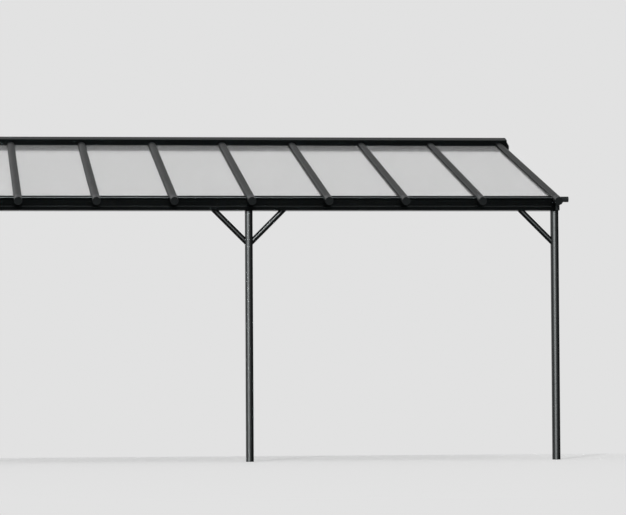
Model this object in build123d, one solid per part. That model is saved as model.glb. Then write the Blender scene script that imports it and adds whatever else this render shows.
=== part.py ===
"""Wall-fixed lean-to pergola: a glazed roof on rafters, a gutter beam and posts.

Units are millimetres. X runs along the wall, +Y points into the wall and +Z up.
The origin is the middle of the wall profile's back face, where the pergola is
fixed to the wall. Heights named *_HEIGHT are above the ground.
"""
from build123d import *
import math
import os

# Layout along the wall
RAFTER_SPACING = 700.0
RAFTER_COUNT = 9
END_POST_INSET = 6.0
MIDDLE_POST_SHIFT = -13.0

# Layout from the wall to the front
POST_PROJECTION = 3275.0
ROOF_PITCH = 12.6
GUTTER_HEIGHT = 2272.0

# Clearances
SEAT = 0.3
GLAZING_GAP = 3.0

# Twin-wall glazing sheet
SHEET_THICKNESS = 10.0
SHEET_SKIN = 1.0
SHEET_RIB = 1.0
FLUTE_PITCH = 32.0
SHEET_EDGE = 6.0
SHEET_OVERHANG = 15.0
SHEET_WALL_GAP = 8.0
END_TRIM_WALL = 1.2
END_TRIM_DEPTH = 14.0

# Rafter: a load-bearing tube with a chamfered belly and a neck between the sheets
RAFTER_WIDTH = 60.0
RAFTER_DEPTH = 50.0
RAFTER_WALL = 2.5
RAFTER_BELLY_CHAMFER = 14.0
NECK_WIDTH = 6.0

# Crowned cover that clamps the glazing on each rafter
COVER_WIDTH = 70.0
COVER_FLANK = 20.0
COVER_RISE = 12.0
COVER_SHOULDER_RADIUS = 4.0
COVER_WALL = 2.2

# Round nose that closes the front end of each cover
NOSE_RADIUS = 37.0
NOSE_CENTRE = 13.0
NOSE_LENGTH = 132.0
NOSE_EDGE = 3.0
NOSE_WALL = 3.0
NOSE_PLUG = 30.0

# Gutter beam: a trough over a box chamber
GUTTER_DEPTH = 176.0
GUTTER_REAR_WALL = 130.5
GUTTER_END_BEYOND = 22.0
GUTTER_WALL = 3.0
TROUGH_FLOOR = 83.0
BEAD_RADIUS = 13.0
BEAD_HEIGHT = 110.8
NOTCH_GAP = 1.0
RECESS = 9.0
LIP_TOP = 41.0
LEDGE_RISE = 9.0
GUTTER_CORNER = 4.0

# Moulded gutter ends and their round outlets
END_PLATE = 5.0
END_FLANGE_WIDTH = 36.0
END_FLANGE_THICKNESS = 2.0
OUTLET_RADIUS = 25.5
OUTLET_WALL = 2.5
OUTLET_REACH = 112.0
OUTLET_SETBACK = 30.0

# Posts: flat sides, bowed front and back
POST_WIDTH = 66.0
POST_DEPTH = 70.0
POST_BOW = 8.0
POST_WALL = 3.0
FOOT_PLATE = 4.0
FOOT_SOCKET_HEIGHT = 60.0
FOOT_SOCKET_WALL = 4.0
ANCHOR_RADIUS = 6.5

# Round braces at 45 degrees
BRACE_RADIUS = 25.0
BRACE_WALL = 2.5
BRACE_REACH = 307.0

# Wall profile and the sloping hood that hooks over it
HOOD_DEPTH = 114.0
HOOD_RISE = 68.5
HOOD_DROP = 33.0
HOOD_HOOK = 20.0
HOOD_NOSE_RADIUS = 5.0
PROFILE_WALL = 4.0
SHELF_DEPTH = 90.0
SHELF_NOSE = 14.0
KEEL_WIDTH = 22.0
KEEL_DROP = 60.0
WALL_END_BEYOND = 81.0
WALL_CAP_THICKNESS = 4.0
CAP_STEP = 18.0
CHEEK_DEPTH = 243.0
CHEEK_RISE = 22.0
WALL_HOLE_RADIUS = 5.5
WALL_HOLE_DROP = 38.0

# Values that follow from the sizes above
SLOPE = math.tan(math.radians(ROOF_PITCH))
LEAN = math.cos(math.radians(ROOF_PITCH))
BAY_COUNT = RAFTER_COUNT - 1
RAFTERS_X = [(i - BAY_COUNT / 2) * RAFTER_SPACING for i in range(RAFTER_COUNT)]
POSTS_X = {
    "left": RAFTERS_X[0] + END_POST_INSET,
    "middle": MIDDLE_POST_SHIFT,
    "right": RAFTERS_X[-1] - END_POST_INSET,
}
GUTTER_FRONT = -POST_PROJECTION - GUTTER_DEPTH / 2
GUTTER_REAR = -POST_PROJECTION + GUTTER_DEPTH / 2
REAR_TOP_HEIGHT = GUTTER_HEIGHT + GUTTER_REAR_WALL
GUTTER_HALF_LENGTH = RAFTERS_X[-1] + GUTTER_END_BEYOND
WALL_HALF_LENGTH = RAFTERS_X[-1] + WALL_END_BEYOND - WALL_CAP_THICKNESS


def underside_height(y):
    """Height of the glazing's underside above the ground."""
    seat_y = GUTTER_REAR - GUTTER_WALL
    return REAR_TOP_HEIGHT + SEAT + (y - seat_y) * SLOPE


def glazing_height(y):
    """Height of the glazing's top surface above the ground."""
    return underside_height(y) + SHEET_THICKNESS / LEAN


def shelf_height(y):
    """Height of the shelf that carries the rafters' wall ends."""
    return underside_height(y) - (RAFTER_DEPTH + SEAT) / LEAN


WALL_TOP_HEIGHT = glazing_height(0) + HOOD_RISE
WALL_BOTTOM_HEIGHT = shelf_height(0) - KEEL_DROP
ORIGIN_HEIGHT = (WALL_TOP_HEIGHT + WALL_BOTTOM_HEIGHT) / 2
GROUND = -ORIGIN_HEIGHT


def hood_height(y):
    """Height of the hood's sloping top."""
    return WALL_TOP_HEIGHT + y * HOOD_DROP / HOOD_DEPTH


def level(height):
    """Turn a height above the ground into the part's own Z."""
    return height + GROUND


def outline(points):
    """Closed face from (y, height) points, to be extruded along X."""
    return make_face(Polyline([(y, level(h)) for y, h in points], close=True))


def along_wall(profile, start_x, end_x):
    """Extrude a (Y, Z) profile from one X to another."""
    return extrude(Plane.YZ.offset(start_x) * profile, amount=end_x - start_x)


def roof_plane(x):
    """Plane across the slope at the wall: local X along the wall, local Y off the roof."""
    return Plane(
        origin=(x, 0, level(underside_height(0))),
        x_dir=(1, 0, 0),
        z_dir=(0, -math.cos(math.radians(ROOF_PITCH)), -math.sin(math.radians(ROOF_PITCH))),
    )


def down_slope(profile, x, back_y, front_y):
    """Extrude a cross-section down the roof slope, with plumb-cut ends."""
    spare = 200.0
    length = -front_y / LEAN + 2 * spare
    bar = extrude(roof_plane(x).offset(-spare) * profile, amount=length)
    slab_depth = back_y - front_y
    slab = Pos(x, (back_y + front_y) / 2, 0) * Box(2 * RAFTER_SPACING, slab_depth, 4 * ORIGIN_HEIGHT)
    return bar & slab


def rafter_section():
    """Hollow tube with a chamfered belly below the glazing, without its neck."""
    tube = Pos(0, -RAFTER_DEPTH / 2) * Rectangle(RAFTER_WIDTH, RAFTER_DEPTH)
    belly = tube.vertices().sort_by(Axis.Y)[:2]
    tube = chamfer(belly, RAFTER_BELLY_CHAMFER)
    return tube - offset(tube, -RAFTER_WALL, kind=Kind.INTERSECTION)


def neck_section():
    """Neck between two sheets, carried by the tube's top wall."""
    height = SHEET_THICKNESS + RAFTER_WALL
    return Pos(0, SHEET_THICKNESS - height / 2) * Rectangle(NECK_WIDTH, height)


def make_rafter(x):
    """Rafter from the wall profile to the gutter; its neck runs on over the trough."""
    back_y = -PROFILE_WALL - SEAT
    tube = down_slope(rafter_section(), x, back_y, GUTTER_REAR + SEAT)
    upper = Pos(0, SHEET_THICKNESS / 2) * Rectangle(NECK_WIDTH, SHEET_THICKNESS)
    neck = down_slope(neck_section(), x, back_y, GUTTER_REAR + SEAT)
    bridge = down_slope(upper, x, back_y, cover_front())
    return tube + neck + bridge


def cover_outline(inset):
    """Cover's outline shrunk by an inset: upright flanks under a shallow arch."""
    half = COVER_WIDTH / 2 - inset
    base = SHEET_THICKNESS + SEAT + inset
    shoulder = SHEET_THICKNESS + SEAT + COVER_FLANK - inset
    crown = SHEET_THICKNESS + SEAT + COVER_FLANK + COVER_RISE - inset
    return make_face([
        Line((-half, base), (-half, shoulder)),
        ThreePointArc((-half, shoulder), (0, crown), (half, shoulder)),
        Line((half, shoulder), (half, base)),
        Line((half, base), (-half, base)),
    ])


def make_cover(x):
    """Crowned hollow cover from the hood's lip to the front of the gutter."""
    shell = cover_outline(0)
    shoulders = shell.vertices().sort_by(Axis.Y)[2:]
    shell = fillet(shoulders, COVER_SHOULDER_RADIUS)
    section = shell - cover_outline(COVER_WALL)
    return down_slope(section, x, -HOOD_DEPTH - SEAT, cover_front())


def cover_front():
    """Y of the covers' front ends, just clear of the gutter's end flanges."""
    return GUTTER_FRONT - END_FLANGE_THICKNESS - 2 * SEAT


def make_nose(x):
    """Moulded drum in front of the gutter, with a hollow plug that seats in the cover's end."""
    front_y = GUTTER_FRONT - NOSE_LENGTH
    back_y = cover_front() - SEAT
    reach = (-front_y - NOSE_CENTRE * math.sin(math.radians(ROOF_PITCH))) / LEAN
    length = NOSE_LENGTH + 2 * NOSE_RADIUS
    start = roof_plane(x).offset(reach - length)
    drum = extrude(start * (Pos(0, NOSE_CENTRE) * Circle(NOSE_RADIUS)), amount=length)
    rim = drum.edges().sort_by(Axis.Y)[0]
    drum = chamfer(rim, NOSE_EDGE)
    room = Box(4 * NOSE_RADIUS, 4 * NOSE_LENGTH, 2 * ORIGIN_HEIGHT)
    drum = drum & (Pos(x, back_y - 2 * NOSE_LENGTH, 0) * room)
    plug_inset = COVER_WALL + SEAT
    plug = down_slope(cover_outline(plug_inset), x, cover_front() + NOSE_PLUG, back_y - NOSE_WALL)
    hollow = down_slope(cover_outline(plug_inset + NOSE_WALL), x, cover_front() + NOSE_PLUG, back_y)
    return drum + plug - hollow


def make_sheet(x):
    """Twin-wall sheet between two rafters, its flutes running down the slope."""
    width = RAFTER_SPACING - NECK_WIDTH - 2 * GLAZING_GAP
    inner = width - 2 * SHEET_EDGE
    count = int(inner // FLUTE_PITCH)
    flute = Rectangle(FLUTE_PITCH - SHEET_RIB, SHEET_THICKNESS - 2 * SHEET_SKIN)
    flutes = [Pos((i - (count - 1) / 2) * FLUTE_PITCH, SHEET_THICKNESS / 2) * flute for i in range(count)]
    section = Pos(0, SHEET_THICKNESS / 2) * Rectangle(width, SHEET_THICKNESS)
    section = section - Sketch(flutes)
    return down_slope(section, x, -SHEET_WALL_GAP, sheet_front())


def sheet_front():
    """Y of the sheets' lower ends, inside the gutter's mouth."""
    return GUTTER_REAR - GUTTER_WALL - SHEET_OVERHANG


def make_end_trim(x):
    """Channel that closes a sheet's flutes over the trough."""
    width = RAFTER_SPACING - NECK_WIDTH - 2 * GLAZING_GAP
    outer_height = SHEET_THICKNESS + 2 * END_TRIM_WALL + 2 * SEAT
    section = Pos(0, SHEET_THICKNESS / 2) * Rectangle(width, outer_height)
    slot = Pos(0, SHEET_THICKNESS / 2) * Rectangle(width, SHEET_THICKNESS + 2 * SEAT)
    back_y = sheet_front() + END_TRIM_DEPTH - END_TRIM_WALL
    front_y = sheet_front() - SEAT - END_TRIM_WALL
    under_cover = COVER_WIDTH / 2 - NECK_WIDTH / 2 - GLAZING_GAP + SEAT
    trim = down_slope(section, x, back_y, front_y) - down_slope(slot, x, back_y, sheet_front() - SEAT)
    room = Box(width - 2 * under_cover, 2 * POST_PROJECTION, 4 * ORIGIN_HEIGHT)
    return trim & (Pos(x, -POST_PROJECTION, 0) * room)


def make_side_trim(x, side):
    """Strip that fills the empty glazing groove on the outside of an end rafter."""
    inner = NECK_WIDTH / 2 + SEAT
    width = RAFTER_WIDTH / 2 - inner
    strip = Pos(side * (inner + width / 2), SHEET_THICKNESS / 2) * Rectangle(width, SHEET_THICKNESS)
    return down_slope(strip, x, -SHEET_WALL_GAP, GUTTER_REAR - GUTTER_WALL)


def make_notch(x):
    """Space for a rafter's neck and cover where they cross the gutter's front edge."""
    height = SHEET_THICKNESS + COVER_FLANK + COVER_RISE
    space = Pos(0, height / 2 - SEAT) * Rectangle(COVER_WIDTH + 2 * NOTCH_GAP, height)
    return down_slope(space, x, GUTTER_FRONT + 4 * BEAD_RADIUS, cover_front())


def make_gutter():
    """Gutter beam: a bead notched at each rafter, a recessed face, ledge and lip, a trough over a chamber."""
    bead_y = GUTTER_FRONT + BEAD_RADIUS
    bead_height = GUTTER_HEIGHT + BEAD_HEIGHT
    floor = GUTTER_HEIGHT + TROUGH_FLOOR
    lip = GUTTER_HEIGHT + LIP_TOP
    front_wall = GUTTER_FRONT + RECESS
    body = outline([
        (GUTTER_FRONT, GUTTER_HEIGHT),
        (GUTTER_FRONT, lip - LEDGE_RISE),
        (front_wall, lip),
        (front_wall, bead_height),
        (front_wall + GUTTER_WALL, bead_height),
        (front_wall + GUTTER_WALL, floor),
        (GUTTER_REAR - GUTTER_WALL, floor),
        (GUTTER_REAR - GUTTER_WALL, REAR_TOP_HEIGHT),
        (GUTTER_REAR, REAR_TOP_HEIGHT),
        (GUTTER_REAR, GUTTER_HEIGHT),
    ])
    corners = body.vertices().group_by(Axis.Y)[0]
    body = fillet(corners, GUTTER_CORNER)
    chamber = outline([
        (front_wall + GUTTER_WALL, GUTTER_HEIGHT + GUTTER_WALL),
        (front_wall + GUTTER_WALL, floor - GUTTER_WALL),
        (GUTTER_REAR - GUTTER_WALL, floor - GUTTER_WALL),
        (GUTTER_REAR - GUTTER_WALL, GUTTER_HEIGHT + GUTTER_WALL),
    ])
    bead = Pos(bead_y, level(bead_height)) * Circle(BEAD_RADIUS)
    profile = body - chamber + bead
    beam = along_wall(profile, -GUTTER_HALF_LENGTH, GUTTER_HALF_LENGTH)
    for x in RAFTERS_X:
        beam = beam - make_notch(x)
    return beam


def make_gutter_end(side):
    """Moulded end: a plate over the gutter's end, a flange on its face and the outlet."""
    inner_x = side * (GUTTER_HALF_LENGTH + SEAT)
    outer_x = inner_x + side * END_PLATE
    trim_end = GUTTER_REAR - GUTTER_WALL - SEAT
    flange_back = GUTTER_FRONT - SEAT
    flange_front = flange_back - END_FLANGE_THICKNESS
    flange_top = underside_height(flange_front) - SEAT / LEAN
    plate = outline([
        (flange_front, GUTTER_HEIGHT),
        (flange_front, glazing_height(flange_front) - SEAT),
        (trim_end, glazing_height(trim_end) - SEAT),
        (trim_end, REAR_TOP_HEIGHT),
        (GUTTER_REAR, REAR_TOP_HEIGHT),
        (GUTTER_REAR, GUTTER_HEIGHT),
    ])
    flange = outline([
        (flange_front, GUTTER_HEIGHT),
        (flange_front, flange_top),
        (flange_back, flange_top),
        (flange_back, GUTTER_HEIGHT),
    ])
    flange_x = outer_x - side * END_FLANGE_WIDTH
    outlet_plane = Plane.YZ.offset(inner_x)
    outlet_height = GUTTER_HEIGHT + TROUGH_FLOOR + OUTLET_RADIUS
    outlet_place = Pos(GUTTER_REAR - OUTLET_SETBACK, level(outlet_height))
    pipe = extrude(outlet_plane * (outlet_place * Circle(OUTLET_RADIUS)), amount=side * OUTLET_REACH)
    bore = extrude(outlet_plane * (outlet_place * Circle(OUTLET_RADIUS - OUTLET_WALL)), amount=side * OUTLET_REACH)
    body = along_wall(plate, inner_x, outer_x) + along_wall(flange, flange_x, outer_x)
    return body + pipe - bore


def post_section(inset):
    """Post outline with flat sides and bowed front and back, shrunk by an inset."""
    half_width = POST_WIDTH / 2 - inset
    half_depth = POST_DEPTH / 2 - inset
    shoulder = half_depth - POST_BOW
    return make_face([
        Line((-half_width, shoulder), (-half_width, -shoulder)),
        ThreePointArc((-half_width, -shoulder), (0, -half_depth), (half_width, -shoulder)),
        Line((half_width, -shoulder), (half_width, shoulder)),
        ThreePointArc((half_width, shoulder), (0, half_depth), (-half_width, shoulder)),
    ])


def make_post(x):
    """Hollow post from its foot plate to the gutter's underside."""
    place = Pos(x, -POST_PROJECTION, level(FOOT_PLATE))
    section = post_section(0) - post_section(POST_WALL)
    return place * extrude(section, amount=GUTTER_HEIGHT - FOOT_PLATE)


def make_foot(x):
    """Foot plate with a socket inside the post and an anchor hole."""
    place = Pos(x, -POST_PROJECTION, level(0))
    plate = extrude(post_section(0), amount=FOOT_PLATE)
    width = POST_WIDTH - 2 * (POST_WALL + SEAT)
    depth = POST_DEPTH - 2 * (POST_BOW + POST_WALL + SEAT)
    wall = Rectangle(width, depth) - Rectangle(width - 2 * FOOT_SOCKET_WALL, depth - 2 * FOOT_SOCKET_WALL)
    socket = extrude(wall, amount=FOOT_PLATE + FOOT_SOCKET_HEIGHT)
    anchor = extrude(Circle(ANCHOR_RADIUS), amount=FOOT_PLATE)
    return place * (plate + socket - anchor)


def make_brace(post_x, side):
    """Round tube from the post's side up to the gutter's underside, mitred at both ends."""
    centre = Vector(post_x, -POST_PROJECTION, level(GUTTER_HEIGHT - BRACE_REACH))
    direction = Vector(side, 0, 1).normalized()
    plane = Plane(origin=centre, x_dir=(0, 1, 0), z_dir=direction)
    ring = Circle(BRACE_RADIUS) - Circle(BRACE_RADIUS - BRACE_WALL)
    tube = extrude(plane * ring, amount=2 * BRACE_REACH)
    inner_x = POST_WIDTH / 2
    width = 2 * BRACE_REACH
    room = Box(width, 2 * POST_DEPTH, width)
    corner = Pos(post_x + side * (inner_x + width / 2), -POST_PROJECTION, level(GUTTER_HEIGHT) - width / 2)
    return tube & (corner * room)


def wall_profile_section():
    """Back plate with the rafters' shelf and the hollow keel below it."""
    plate_top = hood_height(-PROFILE_WALL) - PROFILE_WALL - SEAT
    plate = outline([
        (0, WALL_BOTTOM_HEIGHT),
        (0, plate_top),
        (-PROFILE_WALL, plate_top),
        (-PROFILE_WALL, WALL_BOTTOM_HEIGHT),
    ])
    keel = outline([
        (0, WALL_BOTTOM_HEIGHT),
        (0, shelf_height(0)),
        (-SHELF_DEPTH, shelf_height(-SHELF_DEPTH)),
        (-SHELF_DEPTH, shelf_height(-SHELF_DEPTH) - SHELF_NOSE),
        (-KEEL_WIDTH, WALL_BOTTOM_HEIGHT),
    ])
    keel = keel - offset(keel, -PROFILE_WALL, kind=Kind.INTERSECTION)
    return plate + keel


def hood_section():
    """Sloping hood that hooks over the back plate and rests on the glazing with its lip."""
    lip_back = -HOOD_DEPTH + PROFILE_WALL
    lip_bottom = glazing_height(lip_back) + SEAT / LEAN
    hook_back = -PROFILE_WALL - SEAT
    hook_front = hook_back - PROFILE_WALL
    hook_bottom = hood_height(hook_back) - PROFILE_WALL - HOOD_HOOK
    hood = outline([
        (0, hood_height(0) - PROFILE_WALL),
        (0, hood_height(0)),
        (-HOOD_DEPTH, hood_height(-HOOD_DEPTH)),
        (-HOOD_DEPTH, lip_bottom),
        (lip_back, lip_bottom),
        (lip_back, hood_height(lip_back) - PROFILE_WALL),
        (hook_front, hood_height(hook_front) - PROFILE_WALL),
        (hook_front, hook_bottom),
        (hook_back, hook_bottom),
        (hook_back, hood_height(hook_back) - PROFILE_WALL),
    ])
    front = hood.vertices().sort_by_distance((-HOOD_DEPTH, level(hood_height(-HOOD_DEPTH)), 0))[0]
    return fillet(front, HOOD_NOSE_RADIUS)


def make_hood():
    """Extruded hood along the whole wall profile."""
    return along_wall(hood_section(), -WALL_HALF_LENGTH, WALL_HALF_LENGTH)


def make_wall_profile():
    """Extruded wall profile with its row of fixing holes."""
    profile = along_wall(wall_profile_section(), -WALL_HALF_LENGTH, WALL_HALF_LENGTH)
    hole_height = level(WALL_TOP_HEIGHT - WALL_HOLE_DROP)
    for left_x in RAFTERS_X[:-1]:
        x = left_x + RAFTER_SPACING / 2
        drill = Pos(x, 0, hole_height) * Rot(90, 0, 0) * Cylinder(WALL_HOLE_RADIUS, 4 * PROFILE_WALL)
        profile = profile - drill
    return profile


def make_wall_cap(side):
    """Flat moulded cap over an end of the wall profile, with a cheek along the roof's edge."""
    inner_x = side * WALL_HALF_LENGTH
    hood_front = hood_height(-HOOD_DEPTH)
    cap = outline([
        (0, WALL_BOTTOM_HEIGHT),
        (0, WALL_TOP_HEIGHT),
        (-HOOD_DEPTH, hood_front),
        (-HOOD_DEPTH, hood_front - CAP_STEP),
        (-CHEEK_DEPTH, glazing_height(-CHEEK_DEPTH) + CHEEK_RISE),
        (-CHEEK_DEPTH, underside_height(-CHEEK_DEPTH)),
        (-SHELF_DEPTH, shelf_height(-SHELF_DEPTH) - SHELF_NOSE),
        (-KEEL_WIDTH, WALL_BOTTOM_HEIGHT),
    ])
    return along_wall(cap, inner_x, inner_x + side * WALL_CAP_THICKNESS)


def build_nodes():
    """Make every node of the pergola, by name."""
    nodes = {"wall_profile": make_wall_profile(), "wall_hood": make_hood(), "gutter": make_gutter()}
    for name, side in (("left", -1), ("right", 1)):
        end_x = RAFTERS_X[0] if side < 0 else RAFTERS_X[-1]
        nodes[f"wall_profile_cap_{name}"] = make_wall_cap(side)
        nodes[f"gutter_end_{name}"] = make_gutter_end(side)
        nodes[f"side_trim_{name}"] = make_side_trim(end_x, side)
    for number, x in enumerate(RAFTERS_X, start=1):
        nodes[f"rafter_{number}"] = make_rafter(x)
        nodes[f"rafter_cover_{number}"] = make_cover(x)
    bays_x = [x + RAFTER_SPACING / 2 for x in RAFTERS_X[:-1]]
    for number, x in enumerate(bays_x, start=1):
        nodes[f"roof_sheet_{number}"] = make_sheet(x)
    nodes["rafter_noses"] = Compound(children=[make_nose(x) for x in RAFTERS_X])
    nodes["sheet_end_trims"] = Compound(children=[make_end_trim(x) for x in bays_x])
    for name, x in POSTS_X.items():
        nodes[f"post_{name}"] = make_post(x)
    nodes["post_feet"] = Compound(children=[make_foot(x) for x in POSTS_X.values()])
    nodes["brace_left_post"] = make_brace(POSTS_X["left"], 1)
    nodes["brace_middle_post_left"] = make_brace(POSTS_X["middle"], -1)
    nodes["brace_middle_post_right"] = make_brace(POSTS_X["middle"], 1)
    nodes["brace_right_post"] = make_brace(POSTS_X["right"], -1)
    return nodes


def main():
    """Write each node to its own STEP file."""
    os.makedirs("parts", exist_ok=True)
    for name, solid in build_nodes().items():
        export_step(solid, f"parts/{name}.step")
    print(f"origin height above the ground: {ORIGIN_HEIGHT:.2f}")
    print(f"wall profile: {WALL_BOTTOM_HEIGHT:.1f} to {WALL_TOP_HEIGHT:.1f}")
    print(f"gutter: front {GUTTER_FRONT:.1f}, rear {GUTTER_REAR:.1f}, underside at the wall {underside_height(0):.2f}")


main()
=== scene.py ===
"""Looks of a lean-to pergola with a glazed roof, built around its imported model.

Everything is in metres in the pergola's own frame: X runs along the wall, +Y points
into the wall and +Z up, with the origin in the middle of the wall profile's back face.
"""
from __future__ import annotations

import logging
import math
from dataclasses import dataclass, field
from enum import Enum

import bmesh
import bpy
from mathutils import Matrix, Vector


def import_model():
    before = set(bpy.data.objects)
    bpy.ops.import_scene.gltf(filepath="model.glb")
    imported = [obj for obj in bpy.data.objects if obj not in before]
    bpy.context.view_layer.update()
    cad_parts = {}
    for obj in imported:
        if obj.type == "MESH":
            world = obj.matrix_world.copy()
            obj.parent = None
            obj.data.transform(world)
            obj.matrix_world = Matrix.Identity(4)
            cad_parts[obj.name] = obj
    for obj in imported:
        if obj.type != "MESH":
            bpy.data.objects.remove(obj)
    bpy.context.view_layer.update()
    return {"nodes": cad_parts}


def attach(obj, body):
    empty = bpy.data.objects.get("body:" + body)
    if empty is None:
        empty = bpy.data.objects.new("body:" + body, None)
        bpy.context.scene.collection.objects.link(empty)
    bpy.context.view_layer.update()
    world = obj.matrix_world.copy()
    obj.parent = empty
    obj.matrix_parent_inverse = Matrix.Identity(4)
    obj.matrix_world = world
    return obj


LOG = logging.getLogger("pergola")
MM = 0.001
BODY = "root"
MERGE_DISTANCE = 1e-6
QUARTER_TURN = math.pi / 2
GRAIN_DETAIL = 2.0

TO_FRONT = Vector((0.0, -1.0, 0.0))
TO_WALL = Vector((0.0, 1.0, 0.0))
UPWARDS = Vector((0.0, 0.0, 1.0))

Triple = tuple[float, float, float]


class Slot(Enum):
    """The record's material slots meant for the new pieces; nothing here gives the pieces these slots."""

    PLASTIC = "end_plastic"
    STEEL = "foot_steel"


class Side(Enum):
    """The two ends of the pergola along X."""

    LEFT = -1
    RIGHT = 1


@dataclass(frozen=True)
class Layout:
    """Main sizes and places of the pergola, the same as in the solids."""

    rafter_spacing: float = 0.700
    rafter_count: int = 9
    pitch: float = math.radians(12.6)
    ground: float = -3.09945
    underside_at_wall: float = 0.01640
    sheet_thickness: float = 0.010
    post_line: float = -3.275
    foot_plate_thickness: float = 4.0 * MM
    gutter_underside: float = -0.82745
    trough_rear_face: float = -3.190
    hood_depth: float = 0.114
    cover_half_width: float = 0.035
    left_post: float = -2.794
    middle_post: float = -0.013
    right_post: float = 2.794

    def rafters(self) -> list[float]:
        """X of each rafter's axis, from left to right."""
        middle = (self.rafter_count - 1) / 2
        return [(i - middle) * self.rafter_spacing for i in range(self.rafter_count)]

    def posts(self) -> list[float]:
        """X of each post's axis, from left to right."""
        return [self.left_post, self.middle_post, self.right_post]

    def glazing_underside(self, y: float) -> float:
        """Z of the glazing's underside.

        Args:
            y: Place along Y.

        Returns:
            Height in the pergola's own frame.
        """
        return self.underside_at_wall + y * math.tan(self.pitch)

    def glazing_top(self, y: float) -> float:
        """Z of the glazing's top surface.

        Args:
            y: Place along Y.

        Returns:
            Height in the pergola's own frame.
        """
        return self.glazing_underside(y) + self.sheet_thickness / math.cos(self.pitch)

    def roof_matrix(self, x: float, y: float) -> Matrix:
        """Axes of the roof at one point of a rafter's line, on the glazing's underside.

        Args:
            x: Place along the wall.
            y: Place from the wall, negative towards the front.

        Returns:
            A matrix whose X runs along the wall, Y off the roof and Z down the slope.
        """
        across = Vector((1.0, 0.0, 0.0))
        down = Vector((0.0, -math.cos(self.pitch), -math.sin(self.pitch)))
        off = down.cross(across)
        turn = Matrix((across, off, down)).transposed().to_4x4()
        return Matrix.Translation((x, y, self.glazing_underside(y))) @ turn


def start_material(name: str) -> bpy.types.Material:
    """Make a material whose nodes can be set.

    Args:
        name: Name of the material.

    Returns:
        The new material.
    """
    material = bpy.data.materials.new(name)
    material.use_nodes = True
    return material


def mix_colours(tree: bpy.types.NodeTree, factor: bpy.types.NodeSocket, first: Triple,
                second: Triple) -> bpy.types.NodeSocket:
    """Blend two colours.

    Args:
        tree: The nodes that get the blend.
        factor: What chooses between the colours.
        first: Colour where the factor is 0.
        second: Colour where the factor is 1.

    Returns:
        The blended colour.
    """
    tone = tree.nodes.new("ShaderNodeMix")
    tone.data_type = "RGBA"
    tone.inputs["A"].default_value = (*first, 1.0)
    tone.inputs["B"].default_value = (*second, 1.0)
    tree.links.new(factor, tone.inputs["Factor"])
    return tone.outputs["Result"]


@dataclass(frozen=True)
class Grain:
    """Fine unevenness of a surface, with its size and depth."""

    size: float
    depth: float

    def bump(self, tree: bpy.types.NodeTree, place: bpy.types.NodeSocket) -> bpy.types.NodeSocket:
        """Make the grain's bump.

        Args:
            tree: The nodes that get the bump.
            place: Coordinates that the grain follows.

        Returns:
            The bumped normal.
        """
        noise = tree.nodes.new("ShaderNodeTexNoise")
        noise.inputs["Scale"].default_value = 1.0 / self.size
        noise.inputs["Detail"].default_value = GRAIN_DETAIL
        tree.links.new(place, noise.inputs["Vector"])
        bump = tree.nodes.new("ShaderNodeBump")
        bump.inputs["Distance"].default_value = self.depth
        tree.links.new(noise.outputs["Fac"], bump.inputs["Height"])
        return bump.outputs["Normal"]


@dataclass(frozen=True)
class Coating:
    """Powder coat, plate, rubber or moulded plastic: a skin with a fine grain."""

    name: str
    colour: Triple
    bloom: Triple
    roughness: float
    roughness_spread: float
    specular: float
    grain: Grain
    metallic: float = 0.0
    gloss_tint: Triple = (0.88, 1.0, 1.0)
    cloud_scale: float = 2.3
    cloud_detail: float = 3.0

    def build(self) -> bpy.types.Material:
        """Make the material's nodes.

        Returns:
            The new material.
        """
        material = start_material(self.name)
        tree = material.node_tree
        nodes, links = tree.nodes, tree.links
        shader = nodes["Principled BSDF"]
        shader.inputs["Metallic"].default_value = self.metallic
        shader.inputs["Specular IOR Level"].default_value = self.specular
        shader.inputs["Specular Tint"].default_value = (*self.gloss_tint, 1.0)
        place = nodes.new("ShaderNodeTexCoord").outputs["Object"]
        cloud = nodes.new("ShaderNodeTexNoise")
        cloud.inputs["Scale"].default_value = self.cloud_scale
        cloud.inputs["Detail"].default_value = self.cloud_detail
        links.new(place, cloud.inputs["Vector"])
        tone = mix_colours(tree, cloud.outputs["Fac"], self.colour, self.bloom)
        links.new(tone, shader.inputs["Base Color"])
        satin = nodes.new("ShaderNodeMapRange")
        satin.inputs["To Min"].default_value = self.roughness - self.roughness_spread
        satin.inputs["To Max"].default_value = self.roughness + self.roughness_spread
        links.new(cloud.outputs["Fac"], satin.inputs["Value"])
        links.new(satin.outputs["Result"], shader.inputs["Roughness"])
        links.new(self.grain.bump(tree, place), shader.inputs["Normal"])
        return material


@dataclass(frozen=True)
class TwinWall:
    """Translucent twin-wall sheet with a faint unevenness from its extrusion."""

    name: str
    colour: Triple
    streak: Triple
    roughness: float
    transmission: float
    ior: float
    streak_pitch: float
    ripple: Grain
    streak_run: float = 0.6
    streak_scale: float = 1.0
    streak_detail: float = 1.0

    def build(self) -> bpy.types.Material:
        """Make the material's nodes.

        Returns:
            The new material.
        """
        material = start_material(self.name)
        tree = material.node_tree
        nodes, links = tree.nodes, tree.links
        shader = nodes["Principled BSDF"]
        shader.inputs["Roughness"].default_value = self.roughness
        shader.inputs["Transmission Weight"].default_value = self.transmission
        shader.inputs["IOR"].default_value = self.ior
        place = nodes.new("ShaderNodeTexCoord").outputs["Object"]
        stretch = nodes.new("ShaderNodeMapping")
        stretch.inputs["Scale"].default_value = (1.0 / self.streak_pitch, self.streak_run, self.streak_run)
        links.new(place, stretch.inputs["Vector"])
        lines = nodes.new("ShaderNodeTexNoise")
        lines.inputs["Scale"].default_value = self.streak_scale
        lines.inputs["Detail"].default_value = self.streak_detail
        links.new(stretch.outputs["Vector"], lines.inputs["Vector"])
        tone = mix_colours(tree, lines.outputs["Fac"], self.colour, self.streak)
        links.new(tone, shader.inputs["Base Color"])
        links.new(self.ripple.bump(tree, place), shader.inputs["Normal"])
        return material


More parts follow.
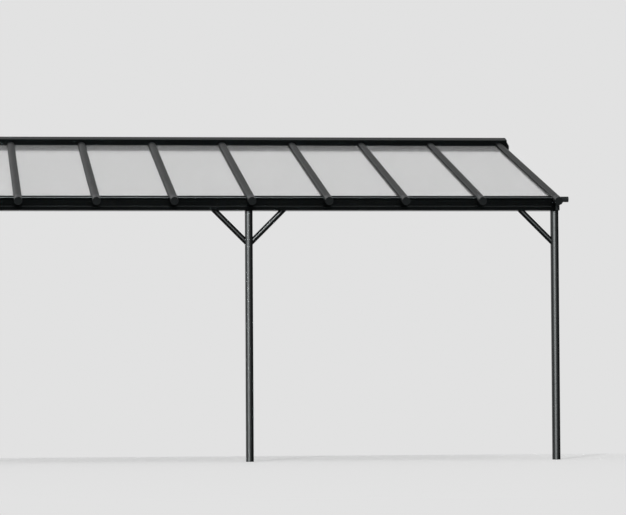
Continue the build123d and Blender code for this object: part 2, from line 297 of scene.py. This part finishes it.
@dataclass
class Finishes:
    """Every material of the pergola, made once."""

    frame: Coating = Coating(
        "frame_powder_coat",
        colour=(0.0012, 0.0017, 0.0018),
        bloom=(0.0018, 0.0024, 0.0025),
        roughness=0.32,
        roughness_spread=0.03,
        specular=0.020,
        grain=Grain(size=1.6 * MM, depth=0.012 * MM),
    )
    gutter: Coating = Coating(
        "gutter_powder_coat",
        colour=(0.0014, 0.0017, 0.0018),
        bloom=(0.0020, 0.0024, 0.0025),
        roughness=0.24,
        roughness_spread=0.02,
        specular=0.020,
        grain=Grain(size=1.6 * MM, depth=0.008 * MM),
    )
    post: Coating = Coating(
        "post_powder_coat",
        colour=(0.0013, 0.0017, 0.0018),
        bloom=(0.0019, 0.0024, 0.0025),
        roughness=0.36,
        roughness_spread=0.02,
        specular=0.040,
        grain=Grain(size=1.6 * MM, depth=0.012 * MM),
        gloss_tint=(0.95, 1.0, 1.0),
    )
    # Same dark powder coat as the frame, but colour and bloom are painted lighter: a painted sheen
    # standing in for part of the light on the rafter tops.
    cover: Coating = Coating(
        "cover_coat_with_painted_sheen",
        colour=(0.0068, 0.0078, 0.0080),
        bloom=(0.0092, 0.0105, 0.0108),
        roughness=0.45,
        roughness_spread=0.03,
        specular=0.05,
        grain=Grain(size=1.6 * MM, depth=0.012 * MM),
    )
    trim: Coating = Coating(
        "trim_coat",
        colour=(0.0012, 0.0014, 0.0015),
        bloom=(0.0018, 0.0021, 0.0022),
        roughness=0.50,
        roughness_spread=0.04,
        specular=0.05,
        grain=Grain(size=1.4 * MM, depth=0.010 * MM),
    )
    plastic: Coating = Coating(
        "moulded_end_plastic",
        colour=(0.0100, 0.0113, 0.0116),
        bloom=(0.0128, 0.0143, 0.0147),
        roughness=0.46,
        roughness_spread=0.05,
        specular=0.10,
        grain=Grain(size=0.9 * MM, depth=0.02 * MM),
    )
    steel: Coating = Coating(
        "foot_steel_coat",
        colour=(0.012, 0.013, 0.0135),
        bloom=(0.018, 0.019, 0.0195),
        roughness=0.45,
        roughness_spread=0.06,
        specular=0.30,
        grain=Grain(size=2.0 * MM, depth=0.02 * MM),
    )
    rubber: Coating = Coating(
        "seal_rubber",
        colour=(0.0040, 0.0040, 0.0040),
        bloom=(0.0062, 0.0062, 0.0062),
        roughness=0.70,
        roughness_spread=0.05,
        specular=0.20,
        grain=Grain(size=1.2 * MM, depth=0.03 * MM),
    )
    screw: Coating = Coating(
        "screw_coat",
        colour=(0.016, 0.017, 0.0175),
        bloom=(0.024, 0.025, 0.0255),
        roughness=0.34,
        roughness_spread=0.05,
        specular=0.45,
        grain=Grain(size=1.0 * MM, depth=0.01 * MM),
    )
    zinc: Coating = Coating(
        "zinc_plate",
        colour=(0.36, 0.37, 0.38),
        bloom=(0.46, 0.47, 0.48),
        roughness=0.34,
        roughness_spread=0.08,
        specular=0.50,
        grain=Grain(size=1.2 * MM, depth=0.02 * MM),
        metallic=1.0,
        gloss_tint=(1.0, 1.0, 1.0),
    )
    glazing: TwinWall = TwinWall(
        "twin_wall_glazing",
        colour=(0.890, 0.893, 0.894),
        streak=(0.920, 0.921, 0.921),
        roughness=0.10,
        transmission=0.85,
        ior=1.45,
        streak_pitch=6.0 * MM,
        ripple=Grain(size=30.0 * MM, depth=0.05 * MM),
    )
    made: dict[str, bpy.types.Material] = field(default_factory=dict)

    def get(self, name: str) -> bpy.types.Material:
        """Material of one finish, made at its first use.

        Args:
            name: Name of the finish's field.

        Returns:
            The material.
        """
        if name not in self.made:
            self.made[name] = getattr(self, name).build()
        return self.made[name]


def finish_piece(name: str, mesh: bmesh.types.BMesh, material: bpy.types.Material) -> bpy.types.Object:
    """Turn a finished bmesh into a piece of the pergola that rides on its frame.

    Args:
        name: Name of the piece.
        mesh: Its shape, freed here.
        material: What it is made of.

    Returns:
        The new object.
    """
    bmesh.ops.remove_doubles(mesh, verts=mesh.verts, dist=MERGE_DISTANCE)
    bmesh.ops.recalc_face_normals(mesh, faces=mesh.faces)
    data = bpy.data.meshes.new(name)
    mesh.to_mesh(data)
    mesh.free()
    data.materials.append(material)
    piece = bpy.data.objects.new(name, data)
    bpy.context.scene.collection.objects.link(piece)
    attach(piece, BODY)
    LOG.info("%s: %d faces", name, len(data.polygons))
    return piece


def raise_face(mesh: bmesh.types.BMesh, face: bmesh.types.BMFace, rise: Vector) -> bmesh.types.BMFace:
    """Draw a face out of its plane and leave the first one as the floor.

    Args:
        mesh: The bmesh that the face is in.
        face: The face.
        rise: How far it is drawn, and which way.

    Returns:
        The face at the top.
    """
    drawn = bmesh.ops.extrude_face_region(mesh, geom=[face], use_keep_orig=True)
    top = [item for item in drawn["geom"] if isinstance(item, bmesh.types.BMFace)][0]
    bmesh.ops.translate(mesh, verts=top.verts, vec=rise)
    top.normal_update()
    return top


@dataclass
class RoofSeals:
    """Rubber lips along the covers and under the hood, where they press on the sheets."""

    layout: Layout
    finishes: Finishes
    front: float = -3.188
    gap: float = 0.05 * MM
    lip_width: float = 2.4 * MM
    lip_height: float = 3.0 * MM
    lip_taper: float = 0.2 * MM
    lip_taper_height: float = 0.3
    lip_shoulder_width: float = 0.35
    lip_shoulder_height: float = 0.85
    hood_lip_gaps: int = 3
    hood_lip_height: float = 5.0 * MM
    hood_lip_droop: float = 0.5 * MM
    hood_lip_shoulder_width: float = 0.4
    hood_lip_shoulder_height: float = 0.8

    def build(self) -> None:
        """Make the covers' lips and the hood's lips."""
        self.cover_lips()
        self.hood_lips()

    def strip(self, mesh: bmesh.types.BMesh, outline: list[tuple[float, float]], place: Matrix,
              length: float) -> None:
        """Draw a small outline along its own Z.

        Args:
            mesh: The bmesh that gets the strip.
            outline: Corners of the section, in the place's X and Y.
            place: Where the section stands.
            length: How far it is drawn along the place's Z.
        """
        section = mesh.faces.new([mesh.verts.new(place @ Vector((x, y, 0.0))) for x, y in outline])
        raise_face(mesh, section, place.to_3x3() @ Vector((0.0, 0.0, length)))

    def cover_lips(self) -> bpy.types.Object:
        """Two lips on each cover, one on each sheet beside it.

        Returns:
            The piece with all the lips.
        """
        mesh = bmesh.new()
        layout = self.layout
        back = -layout.hood_depth - self.gap
        length = (back - self.front) / math.cos(layout.pitch)
        low = layout.sheet_thickness + self.gap
        near = layout.cover_half_width + self.gap
        far = near + self.lip_width
        rafters = layout.rafters()
        last_sheet = rafters[-1] + layout.rafter_spacing / 2
        for x in rafters:
            for side in (-1.0, 1.0):
                if abs(x + side * layout.rafter_spacing) > last_sheet:
                    continue
                shoulder = near + self.lip_shoulder_width * self.lip_width
                outline = [
                    (side * near, low),
                    (side * far, low),
                    (side * (far - self.lip_taper), low + self.lip_taper_height * self.lip_height),
                    (side * shoulder, low + self.lip_shoulder_height * self.lip_height),
                    (side * near, low + self.lip_height),
                ]
                self.strip(mesh, outline, layout.roof_matrix(x, back), length)
        return finish_piece("cover_seal_lips", mesh, self.finishes.get("rubber"))

    def hood_lips(self) -> bpy.types.Object:
        """One lip at the foot of the hood between each two covers.

        Returns:
            The piece with all the lips.
        """
        mesh = bmesh.new()
        layout = self.layout
        back = -layout.hood_depth - self.gap
        foot = layout.glazing_top(back) + self.gap
        aside = layout.cover_half_width + self.lip_width + self.hood_lip_gaps * self.gap
        width = layout.rafter_spacing - 2 * aside
        shoulder = self.hood_lip_shoulder_width * self.lip_width
        outline = [
            (0.0, 0.0),
            (0.0, self.hood_lip_height),
            (-shoulder, self.hood_lip_shoulder_height * self.hood_lip_height),
            (-self.lip_width, -self.hood_lip_droop),
        ]
        turn = Matrix.Rotation(QUARTER_TURN, 4, "Z") @ Matrix.Rotation(QUARTER_TURN, 4, "X")
        for x in layout.rafters()[:-1]:
            self.strip(mesh, outline, Matrix.Translation((x + aside, back, foot)) @ turn, width)
        return finish_piece("hood_seal_lips", mesh, self.finishes.get("rubber"))


@dataclass(frozen=True)
class PanHead:
    """Low domed screw head with a round recess, its steps given as shares of its size."""

    radius: float = 5.0 * MM
    height: float = 2.6 * MM
    segments: int = 12
    side_rise: float = 0.45
    shoulder_inset: float = 0.16
    shoulder_rise: float = 0.30
    crown_inset: float = 0.22
    crown_rise: float = 0.20
    flat_radius: float = 0.62
    least_rim: float = 0.3 * MM
    recess_radius: float = 2.2 * MM
    recess_depth: float = 1.5 * MM
    recess_slant: float = 0.05 * MM

    def add(self, mesh: bmesh.types.BMesh, point: Vector, outward: Vector) -> None:
        """Add one head to a bmesh.

        Args:
            mesh: The bmesh that gets the head.
            point: Middle of the head's seat.
            outward: Direction in which the head stands off its seat.
        """
        place = Matrix.Translation(point) @ outward.to_track_quat("Z", "Y").to_matrix().to_4x4()
        ring = bmesh.ops.create_circle(
            mesh, cap_ends=True, radius=self.radius, segments=self.segments, matrix=place)
        face = ring["verts"][0].link_faces[0]
        out = outward.normalized()
        if face.normal.dot(out) < 0:
            face.normal_flip()
        top = raise_face(mesh, face, out * self.side_rise * self.height)
        self.step(mesh, top, self.shoulder_inset * self.radius, self.shoulder_rise * self.height)
        self.step(mesh, top, self.crown_inset * self.radius, self.crown_rise * self.height)
        rim = self.flat_radius * self.radius - self.recess_radius
        self.step(mesh, top, max(rim, self.least_rim), 0.0)
        self.step(mesh, top, self.recess_slant, -self.recess_depth)

    def step(self, mesh: bmesh.types.BMesh, top: bmesh.types.BMFace, inset: float, rise: float) -> None:
        """Draw the top face in and up by one step.

        Args:
            mesh: The bmesh that the face is in.
            top: The face.
            inset: How far it is drawn in.
            rise: How far it rises, or sinks where negative.
        """
        bmesh.ops.inset_individual(mesh, faces=[top], thickness=inset, depth=rise)
        top.normal_update()


@dataclass(frozen=True)
class HexBolt:
    """Hexagon head on a round washer, with its shank."""

    across_radius: float = 8.6 * MM
    head_height: float = 6.0 * MM
    head_sides: int = 6
    washer_radius: float = 10.0 * MM
    washer_height: float = 1.6 * MM
    washer_sides: int = 20
    shank_radius: float = 5.0 * MM
    shank_length: float = 4.0 * MM
    shank_sides: int = 14
    rim_share: float = 0.12
    rim_segments: int = 2

    def add(self, mesh: bmesh.types.BMesh, point: Vector, outward: Vector) -> None:
        """Add one bolt to a bmesh.

        Args:
            mesh: The bmesh that gets the bolt.
            point: Middle of the washer's seat.
            outward: Direction in which the head stands off its seat.
        """
        out = outward.normalized()
        turn = outward.to_track_quat("Z", "Y").to_matrix().to_4x4()
        seat = Matrix.Translation(point) @ turn
        head = Matrix.Translation(point + out * self.washer_height) @ turn
        self.prism(mesh, seat, out * self.washer_height, self.washer_radius, self.washer_sides)
        self.prism(mesh, head, out * self.head_height, self.across_radius, self.head_sides)
        self.prism(mesh, seat, -out * self.shank_length, self.shank_radius, self.shank_sides)

    def prism(self, mesh: bmesh.types.BMesh, place: Matrix, rise: Vector, radius: float,
              sides: int) -> None:
        """Add one prism with a softened outer rim.

        Args:
            mesh: The bmesh that gets the prism.
            place: Where its base stands.
            rise: How far it rises, and which way.
            radius: Radius over its corners.
            sides: Number of its sides.
        """
        ring = bmesh.ops.create_circle(mesh, cap_ends=True, radius=radius, segments=sides, matrix=place)
        top = raise_face(mesh, ring["verts"][0].link_faces[0], rise)
        bmesh.ops.bevel(
            mesh, geom=list(top.edges), offset=self.rim_share * rise.length, segments=self.rim_segments,
            profile=0.5, affect="EDGES", material=-1)


@dataclass
class Fasteners:
    """Screws and bolts that hold the profiles, caps and braces.

    The cap screws' pairs are a place along Y and a height above the ground.
    """

    layout: Layout
    finishes: Finishes
    screw: PanHead = PanHead()
    small_screw: PanHead = PanHead(radius=4.2 * MM, height=2.0 * MM)
    wall_bolt: HexBolt = HexBolt()
    foot_bolt: HexBolt = HexBolt(
        across_radius=10.4 * MM,
        head_height=8.0 * MM,
        washer_radius=12.0 * MM,
        shank_radius=6.0 * MM,
        shank_length=3.8 * MM,
    )
    rafter_screw_offset: float = 18.0 * MM
    rafter_screw_height: float = 105.0 * MM
    end_plate_face: float = 2.8273
    end_screw_front: float = -3.345
    end_screw_rear: float = -3.205
    end_screw_low: float = 0.016
    end_screw_high: float = 0.066
    cap_face: float = 2.881
    cap_screw_low: tuple[float, float] = (-0.012, 3.024)
    cap_screw_front: tuple[float, float] = (-0.076, 3.040)
    cap_screw_high: tuple[float, float] = (-0.012, 3.172)
    brace_reach: float = 0.307
    brace_radius: float = 0.025
    brace_screw_low: float = 0.075
    brace_screw_high: float = 0.265
    brace_screw_sink: float = 0.4 * MM
    hole_height: float = 0.05715
    plate_front: float = -0.004

    def build(self) -> None:
        """Make every group of fasteners."""
        self.rafter_screws()
        self.end_screws()
        self.cap_screws()
        self.brace_screws()
        self.wall_bolts()
        self.foot_bolts()

    def rafter_screws(self) -> bpy.types.Object:
        """Two screws through the gutter's rear wall into each rafter.

        Returns:
            The piece with all of them.
        """
        mesh = bmesh.new()
        y = self.layout.trough_rear_face
        z = self.layout.gutter_underside + self.rafter_screw_height
        for x in self.layout.rafters():
            for offset in (-self.rafter_screw_offset, self.rafter_screw_offset):
                self.screw.add(mesh, Vector((x + offset, y, z)), TO_FRONT)
        return finish_piece("rafter_screws", mesh, self.finishes.get("screw"))

    def end_screws(self) -> bpy.types.Object:
        """Four screws through each moulded gutter end.

        Returns:
            The piece with all of them.
        """
        mesh = bmesh.new()
        base = self.layout.gutter_underside
        for side in Side:
            outward = Vector((side.value, 0.0, 0.0))
            for height in (self.end_screw_low, self.end_screw_high):
                for y in (self.end_screw_front, self.end_screw_rear):
                    point = Vector((side.value * self.end_plate_face, y, base + height))
                    self.small_screw.add(mesh, point, outward)
        return finish_piece("gutter_end_screws", mesh, self.finishes.get("screw"))

    def cap_screws(self) -> bpy.types.Object:
        """Three screws through each cap of the wall profile.

        Returns:
            The piece with all of them.
        """
        mesh = bmesh.new()
        ground = self.layout.ground
        for side in Side:
            outward = Vector((side.value, 0.0, 0.0))
            for y, height in (self.cap_screw_low, self.cap_screw_front, self.cap_screw_high):
                point = Vector((side.value * self.cap_face, y, ground + height))
                self.small_screw.add(mesh, point, outward)
        return finish_piece("wall_cap_screws", mesh, self.finishes.get("screw"))

    def brace_screws(self) -> bpy.types.Object:
        """One screw near each end of each brace, on the side of the wall.

        Returns:
            The piece with all of them.
        """
        mesh = bmesh.new()
        layout = self.layout
        left, middle, right = layout.posts()
        base = layout.gutter_underside - self.brace_reach
        seat = layout.post_line + self.brace_radius - self.brace_screw_sink
        for post, side in ((left, 1.0), (middle, -1.0), (middle, 1.0), (right, -1.0)):
            for reach in (self.brace_screw_low, self.brace_screw_high):
                self.screw.add(mesh, Vector((post + side * reach, seat, base + reach)), TO_WALL)
        return finish_piece("brace_screws", mesh, self.finishes.get("screw"))

    def wall_bolts(self) -> bpy.types.Object:
        """A bolt with its washer in each hole of the wall profile.

        Returns:
            The piece with all of them.
        """
        mesh = bmesh.new()
        for x in self.layout.rafters()[:-1]:
            middle = x + self.layout.rafter_spacing / 2
            self.wall_bolt.add(mesh, Vector((middle, self.plate_front, self.hole_height)), TO_FRONT)
        return finish_piece("wall_bolts", mesh, self.finishes.get("zinc"))

    def foot_bolts(self) -> bpy.types.Object:
        """An anchor bolt in the foot of each post.

        Returns:
            The piece with all of them.
        """
        mesh = bmesh.new()
        layout = self.layout
        seat = layout.ground + layout.foot_plate_thickness
        for x in layout.posts():
            self.foot_bolt.add(mesh, Vector((x, layout.post_line, seat)), UPWARDS)
        return finish_piece("foot_bolts", mesh, self.finishes.get("zinc"))


@dataclass
class Solids:
    """The carried-over solids and the finish of each."""

    nodes: dict[str, bpy.types.Object]
    finishes: Finishes
    by_start: dict[str, str] = field(default_factory=lambda: {
        "rafter_cover": "cover",
        "rafter_noses": "plastic",
        "wall_profile_cap": "plastic",
        "gutter_end": "plastic",
        "gutter": "gutter",
        "roof_sheet": "glazing",
        "sheet_end_trims": "trim",
        "post_feet": "steel",
        "post_": "post",
        "brace_": "post",
        "": "frame",
    })

    def finish_of(self, name: str) -> str:
        """Name of the finish for one solid, by the start of its name.

        Args:
            name: The solid's name.

        Returns:
            The name of a field of Finishes.
        """
        return next(finish for start, finish in self.by_start.items() if name.startswith(start))

    def dress(self) -> None:
        """Give every solid its material."""
        for name, solid in sorted(self.nodes.items()):
            material = self.finishes.get(self.finish_of(name))
            if not solid.material_slots:
                solid.data.materials.append(material)
            for slot in solid.material_slots:
                slot.material = material
            LOG.info("%s: %s", name, material.name)


@dataclass(frozen=True)
class Lamp:
    """Soft lamp that shines along a direction, its apparent width in degrees."""

    name: str
    direction: Triple
    energy: float
    width: float

    def add(self) -> bpy.types.Object:
        """Add the lamp to the scene.

        Returns:
            The new lamp.
        """
        data = bpy.data.lights.new(self.name, "SUN")
        data.energy = self.energy
        data.angle = math.radians(self.width)
        lamp = bpy.data.objects.new(self.name, data)
        lamp.rotation_euler = Vector(self.direction).to_track_quat("-Z", "Y").to_euler()
        bpy.context.scene.collection.objects.link(lamp)
        return lamp

    def add_mirrored(self, solids: list[bpy.types.Object]) -> None:
        """Add the lamp so that it is only mirrored, in the coats of some solids.

        Args:
            solids: The solids that mirror it.
        """
        lamp = self.add()
        lamp.visible_diffuse = False
        lamp.visible_transmission = False
        lit = bpy.data.collections.new(self.name)
        for solid in solids:
            lit.objects.link(solid)
        lamp.light_linking.receiver_collection = lit


@dataclass(frozen=True)
class Viewpoint:
    """Camera far in front and left of the middle, slightly above the floor, looking up."""

    place: Triple = (-2.76111, -34.32486, -2.57211)
    yaw: float = math.radians(6.12525)
    pitch: float = math.radians(2.42036)
    roll: float = math.radians(-0.33017)
    lens: float = 198.018
    sensor_width: float = 36.0
    reach: float = 400.0

    def turn(self) -> Matrix:
        """How the camera is turned.

        Returns:
            A matrix whose X is the picture's right, Y its top and -Z the way it looks.
        """
        ahead = Vector((math.sin(self.yaw), math.cos(self.yaw), 0.0))
        level = Vector((math.cos(self.yaw), -math.sin(self.yaw), 0.0))
        forward = ahead * math.cos(self.pitch) + UPWARDS * math.sin(self.pitch)
        lifted = UPWARDS * math.cos(self.pitch) - ahead * math.sin(self.pitch)
        right = level * math.cos(self.roll) + lifted * math.sin(self.roll)
        top = lifted * math.cos(self.roll) - level * math.sin(self.roll)
        return Matrix((right, top, -forward)).transposed().to_4x4()

    def add(self) -> None:
        """Add the camera and look through it."""
        data = bpy.data.cameras.new("camera")
        data.sensor_fit = "HORIZONTAL"
        data.sensor_width = self.sensor_width
        data.lens = self.lens
        data.clip_end = self.reach
        data.dof.use_dof = False
        camera = bpy.data.objects.new("camera", data)
        camera.matrix_world = Matrix.Translation(self.place) @ self.turn()
        bpy.context.scene.collection.objects.link(camera)
        bpy.context.scene.camera = camera


@dataclass
class Studio:
    """Pale floor and surroundings, soft lamps and the camera; tones are levels of grey."""

    layout: Layout
    nodes: dict[str, bpy.types.Object]
    backdrop: float = 0.76
    fill: float = 0.48
    floor_tone: float = 0.84
    floor_glow: float = 0.45
    floor_radius: float = 60.0
    floor_segments: int = 96
    floor_behind_wall: float = 0.02
    floor_fade_start: float = 7.0
    floor_fade_end: float = 16.0

    def build(self) -> None:
        """Make the surroundings, the floor, the lamps and the camera."""
        self.surroundings()
        self.floor()
        self.lamps()
        Viewpoint().add()

    def surroundings(self) -> None:
        """Pale to the camera, in gloss and through the glazing, and a soft fill elsewhere."""
        world = bpy.data.worlds.new("surroundings")
        bpy.context.scene.world = world
        world.use_nodes = True
        nodes, links = world.node_tree.nodes, world.node_tree.links
        background = nodes["Background"]
        path = nodes.new("ShaderNodeLightPath")
        seen = nodes.new("ShaderNodeMath")
        seen.operation = "MAXIMUM"
        links.new(path.outputs["Is Camera Ray"], seen.inputs[0])
        links.new(path.outputs["Is Glossy Ray"], seen.inputs[1])
        shown = nodes.new("ShaderNodeMath")
        shown.operation = "MAXIMUM"
        links.new(seen.outputs[0], shown.inputs[0])
        links.new(path.outputs["Is Transmission Ray"], shown.inputs[1])
        hidden_grey = (self.fill, self.fill, self.fill)
        shown_grey = (self.backdrop, self.backdrop, self.backdrop)
        tone = mix_colours(world.node_tree, shown.outputs[0], hidden_grey, shown_grey)
        links.new(tone, background.inputs["Color"])
        background.inputs["Strength"].default_value = 1.0

    def floor_material(self) -> bpy.types.Material:
        """Pale floor that takes the shadow near the pergola and fades into the surroundings.

        Returns:
            The floor's material.
        """
        material = start_material("pale_floor")
        nodes, links = material.node_tree.nodes, material.node_tree.links
        nodes.remove(nodes["Principled BSDF"])
        matte = nodes.new("ShaderNodeBsdfDiffuse")
        matte.inputs["Color"].default_value = (self.floor_tone, self.floor_tone, self.floor_tone, 1.0)
        glow = nodes.new("ShaderNodeEmission")
        glow.inputs["Color"].default_value = (self.backdrop, self.backdrop, self.backdrop, 1.0)
        place = nodes.new("ShaderNodeTexCoord")
        distance = nodes.new("ShaderNodeVectorMath")
        distance.operation = "LENGTH"
        links.new(place.outputs["Object"], distance.inputs[0])
        fade = nodes.new("ShaderNodeMapRange")
        fade.interpolation_type = "SMOOTHSTEP"
        fade.inputs["From Min"].default_value = self.floor_fade_start
        fade.inputs["From Max"].default_value = self.floor_fade_end
        fade.inputs["To Min"].default_value = self.floor_glow
        links.new(distance.outputs["Value"], fade.inputs["Value"])
        blend = nodes.new("ShaderNodeMixShader")
        links.new(fade.outputs["Result"], blend.inputs["Fac"])
        links.new(matte.outputs["BSDF"], blend.inputs[1])
        links.new(glow.outputs["Emission"], blend.inputs[2])
        links.new(blend.outputs["Shader"], nodes["Material Output"].inputs["Surface"])
        return material

    def floor(self) -> None:
        """Pale floor from the wall's line towards the front."""
        mesh = bmesh.new()
        bmesh.ops.create_circle(
            mesh, cap_ends=True, radius=self.floor_radius, segments=self.floor_segments)
        bmesh.ops.translate(mesh, verts=mesh.verts, vec=(0.0, 0.0, self.layout.ground))
        everything = [*mesh.verts, *mesh.edges, *mesh.faces]
        edge = (0.0, self.floor_behind_wall, 0.0)
        bmesh.ops.bisect_plane(mesh, geom=everything, plane_co=edge, plane_no=TO_WALL, clear_outer=True)
        data = bpy.data.meshes.new("floor")
        mesh.to_mesh(data)
        mesh.free()
        data.materials.append(self.floor_material())
        floor = bpy.data.objects.new("floor", data)
        bpy.context.scene.collection.objects.link(floor)

    def starting(self, *starts: str) -> list[bpy.types.Object]:
        """Solids whose names start in one of some ways.

        Args:
            starts: The ways.

        Returns:
            The solids.
        """
        return [solid for name, solid in self.nodes.items() if name.startswith(starts)]

    def lamps(self) -> None:
        """A key lamp from the upper left, one overhead, and panels mirrored in the coats."""
        left = self.starting("post_left", "post_middle", "brace_left", "brace_middle")
        right = self.starting("post_right", "brace_right")
        gutter = self.nodes["gutter"]
        hood = self.nodes["wall_hood"]
        crowns = self.starting("rafter_cover", "rafter_noses")
        Lamp("key", (0.33, 1.0, -0.33), energy=2.3, width=2.5).add()
        Lamp("overhead", (0.05, 0.20, -1.0), energy=0.6, width=50.0).add()
        Lamp("low_panel", (0.205, 0.976, -0.075), energy=16.0, width=5.0).add_mirrored(left)
        Lamp("high_panel", (0.228, 0.912, -0.342), energy=28.0, width=5.0).add_mirrored(left)
        Lamp("low_panel_right", (0.060, 0.995, -0.075), energy=18.0, width=5.0).add_mirrored(right)
        Lamp("high_panel_right", (0.090, 0.936, -0.342), energy=13.0, width=5.0).add_mirrored(right)
        Lamp("front_panel", (0.0, 0.79, -0.61), energy=24.0, width=8.0).add_mirrored([gutter])
        Lamp("top_panel", (0.0, 0.60, -1.0), energy=25.0, width=66.0).add_mirrored([gutter, hood])
        Lamp("rear_panel", (0.35, -0.85, -0.5), energy=0.19, width=30.0).add_mirrored(crowns)


def main() -> None:
    """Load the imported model, dress its solids, add the pieces and set up the studio."""
    logging.basicConfig(level=logging.INFO, format="%(name)s %(message)s")
    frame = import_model()
    bpy.context.scene.view_settings.view_transform = "Standard"
    layout = Layout()
    finishes = Finishes()
    Studio(layout, frame["nodes"]).build()
    Solids(frame["nodes"], finishes).dress()
    RoofSeals(layout, finishes).build()
    Fasteners(layout, finishes).build()


if __name__ == "__main__":
    main()
